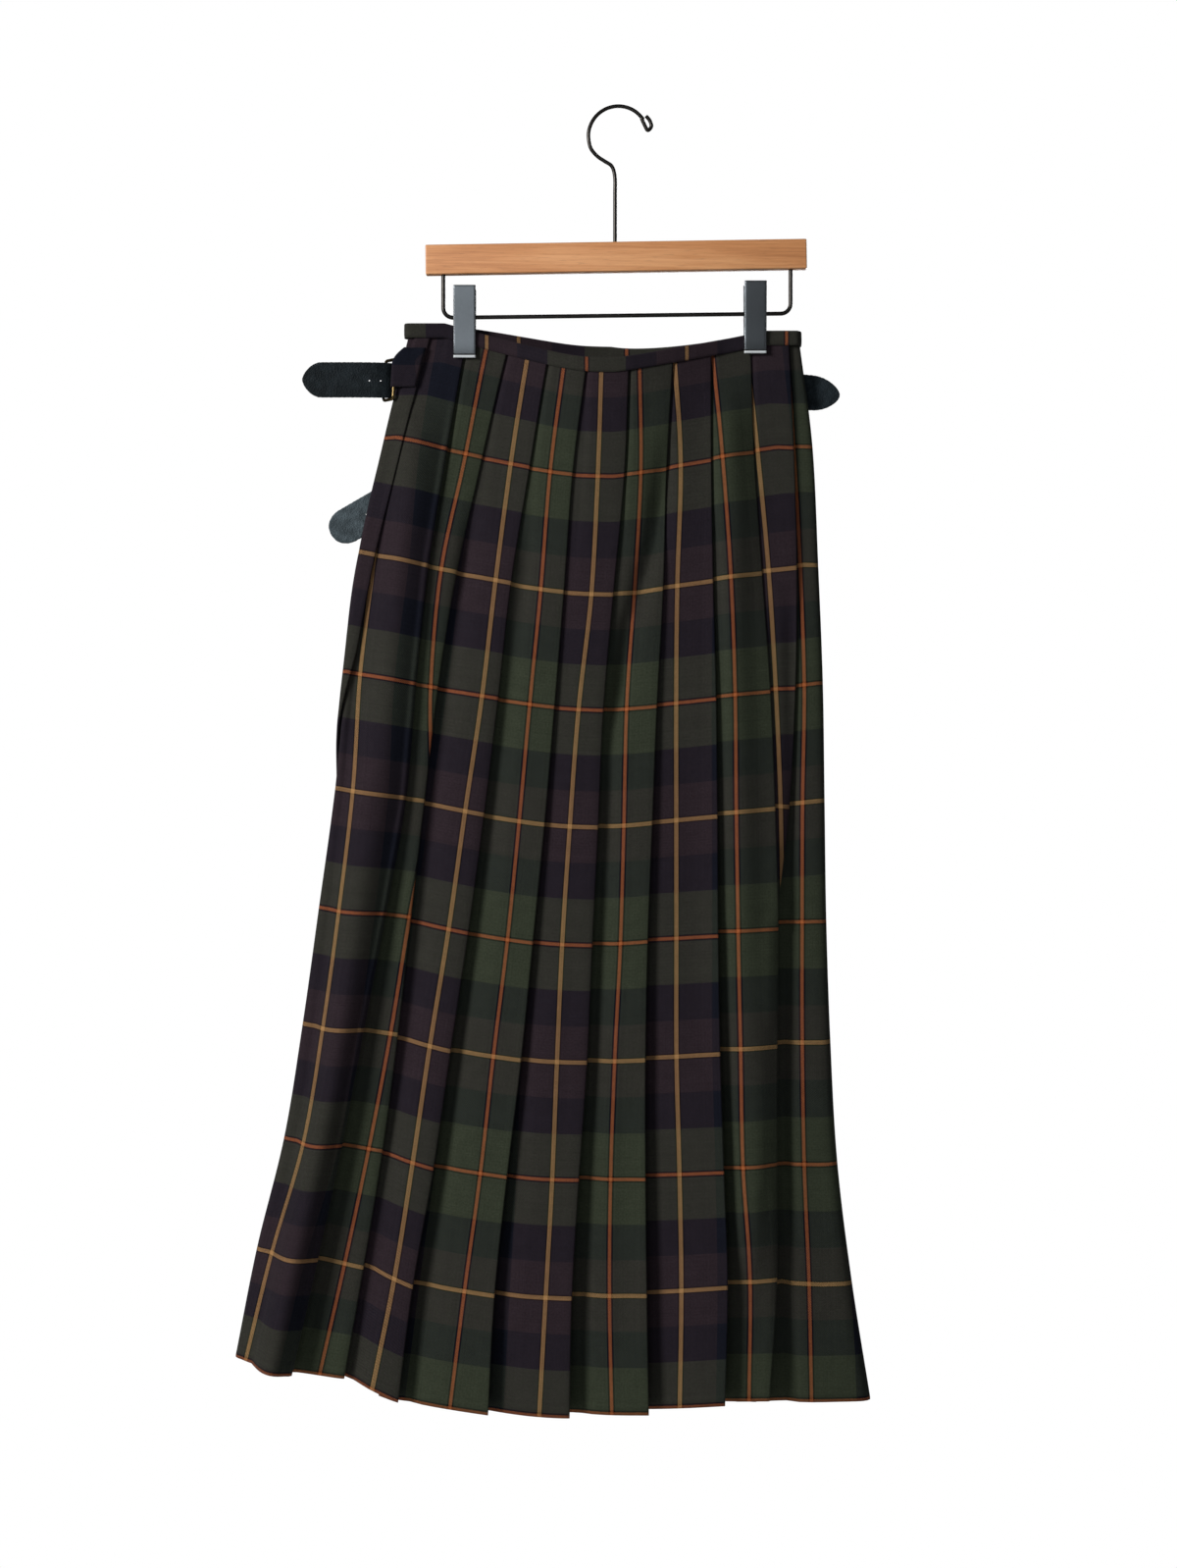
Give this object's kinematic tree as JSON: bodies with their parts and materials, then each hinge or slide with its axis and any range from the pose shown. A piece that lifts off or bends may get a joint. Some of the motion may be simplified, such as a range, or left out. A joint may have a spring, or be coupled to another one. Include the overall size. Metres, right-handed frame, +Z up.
{
  "type": "pleated tartan kilt on a clip hanger",
  "caption": "Long knife-pleated tartan wrap kilt hanging by its waistband from a wooden clip hanger, seen from the pleated back.",
  "frame": {"origin": "inside top of the hanger's hook, where a rail carries it", "axes": "+Z up along the hanging length, -Y out of the pleated back, +X to the right of the view from -Y"},
  "size_m": [0.5496, 0.0788, 1.1235],
  "materials": {
    "tartan_cloth": "matt woollen twill, checked",
    "tartan_band": "matt woollen twill, checked",
    "black_leather": "soft matt leather",
    "pale_brass": "polished",
    "hanger_wood": "clear satin varnish",
    "black_wire": "dark plated wire",
    "clip_metal": "dark satin plate"
  },
  "bodies": {
    "root": {"pleated_back": "tartan_cloth", "under_apron": "tartan_cloth", "over_apron": "tartan_cloth", "waistband": "tartan_band", "buckle_tab": "tartan_band", "buckle_frame": "pale_brass", "waist_strap": "black_leather", "hip_strap": "black_leather", "right_strap": "black_leather", "hanger_bar": "hanger_wood", "hanger_hook": "black_wire", "clip_rail": "black_wire", "clip_left_front": "clip_metal", "clip_left_back": "clip_metal", "clip_right_front": "clip_metal", "clip_right_back": "clip_metal"}
  },
  "joints": []
}
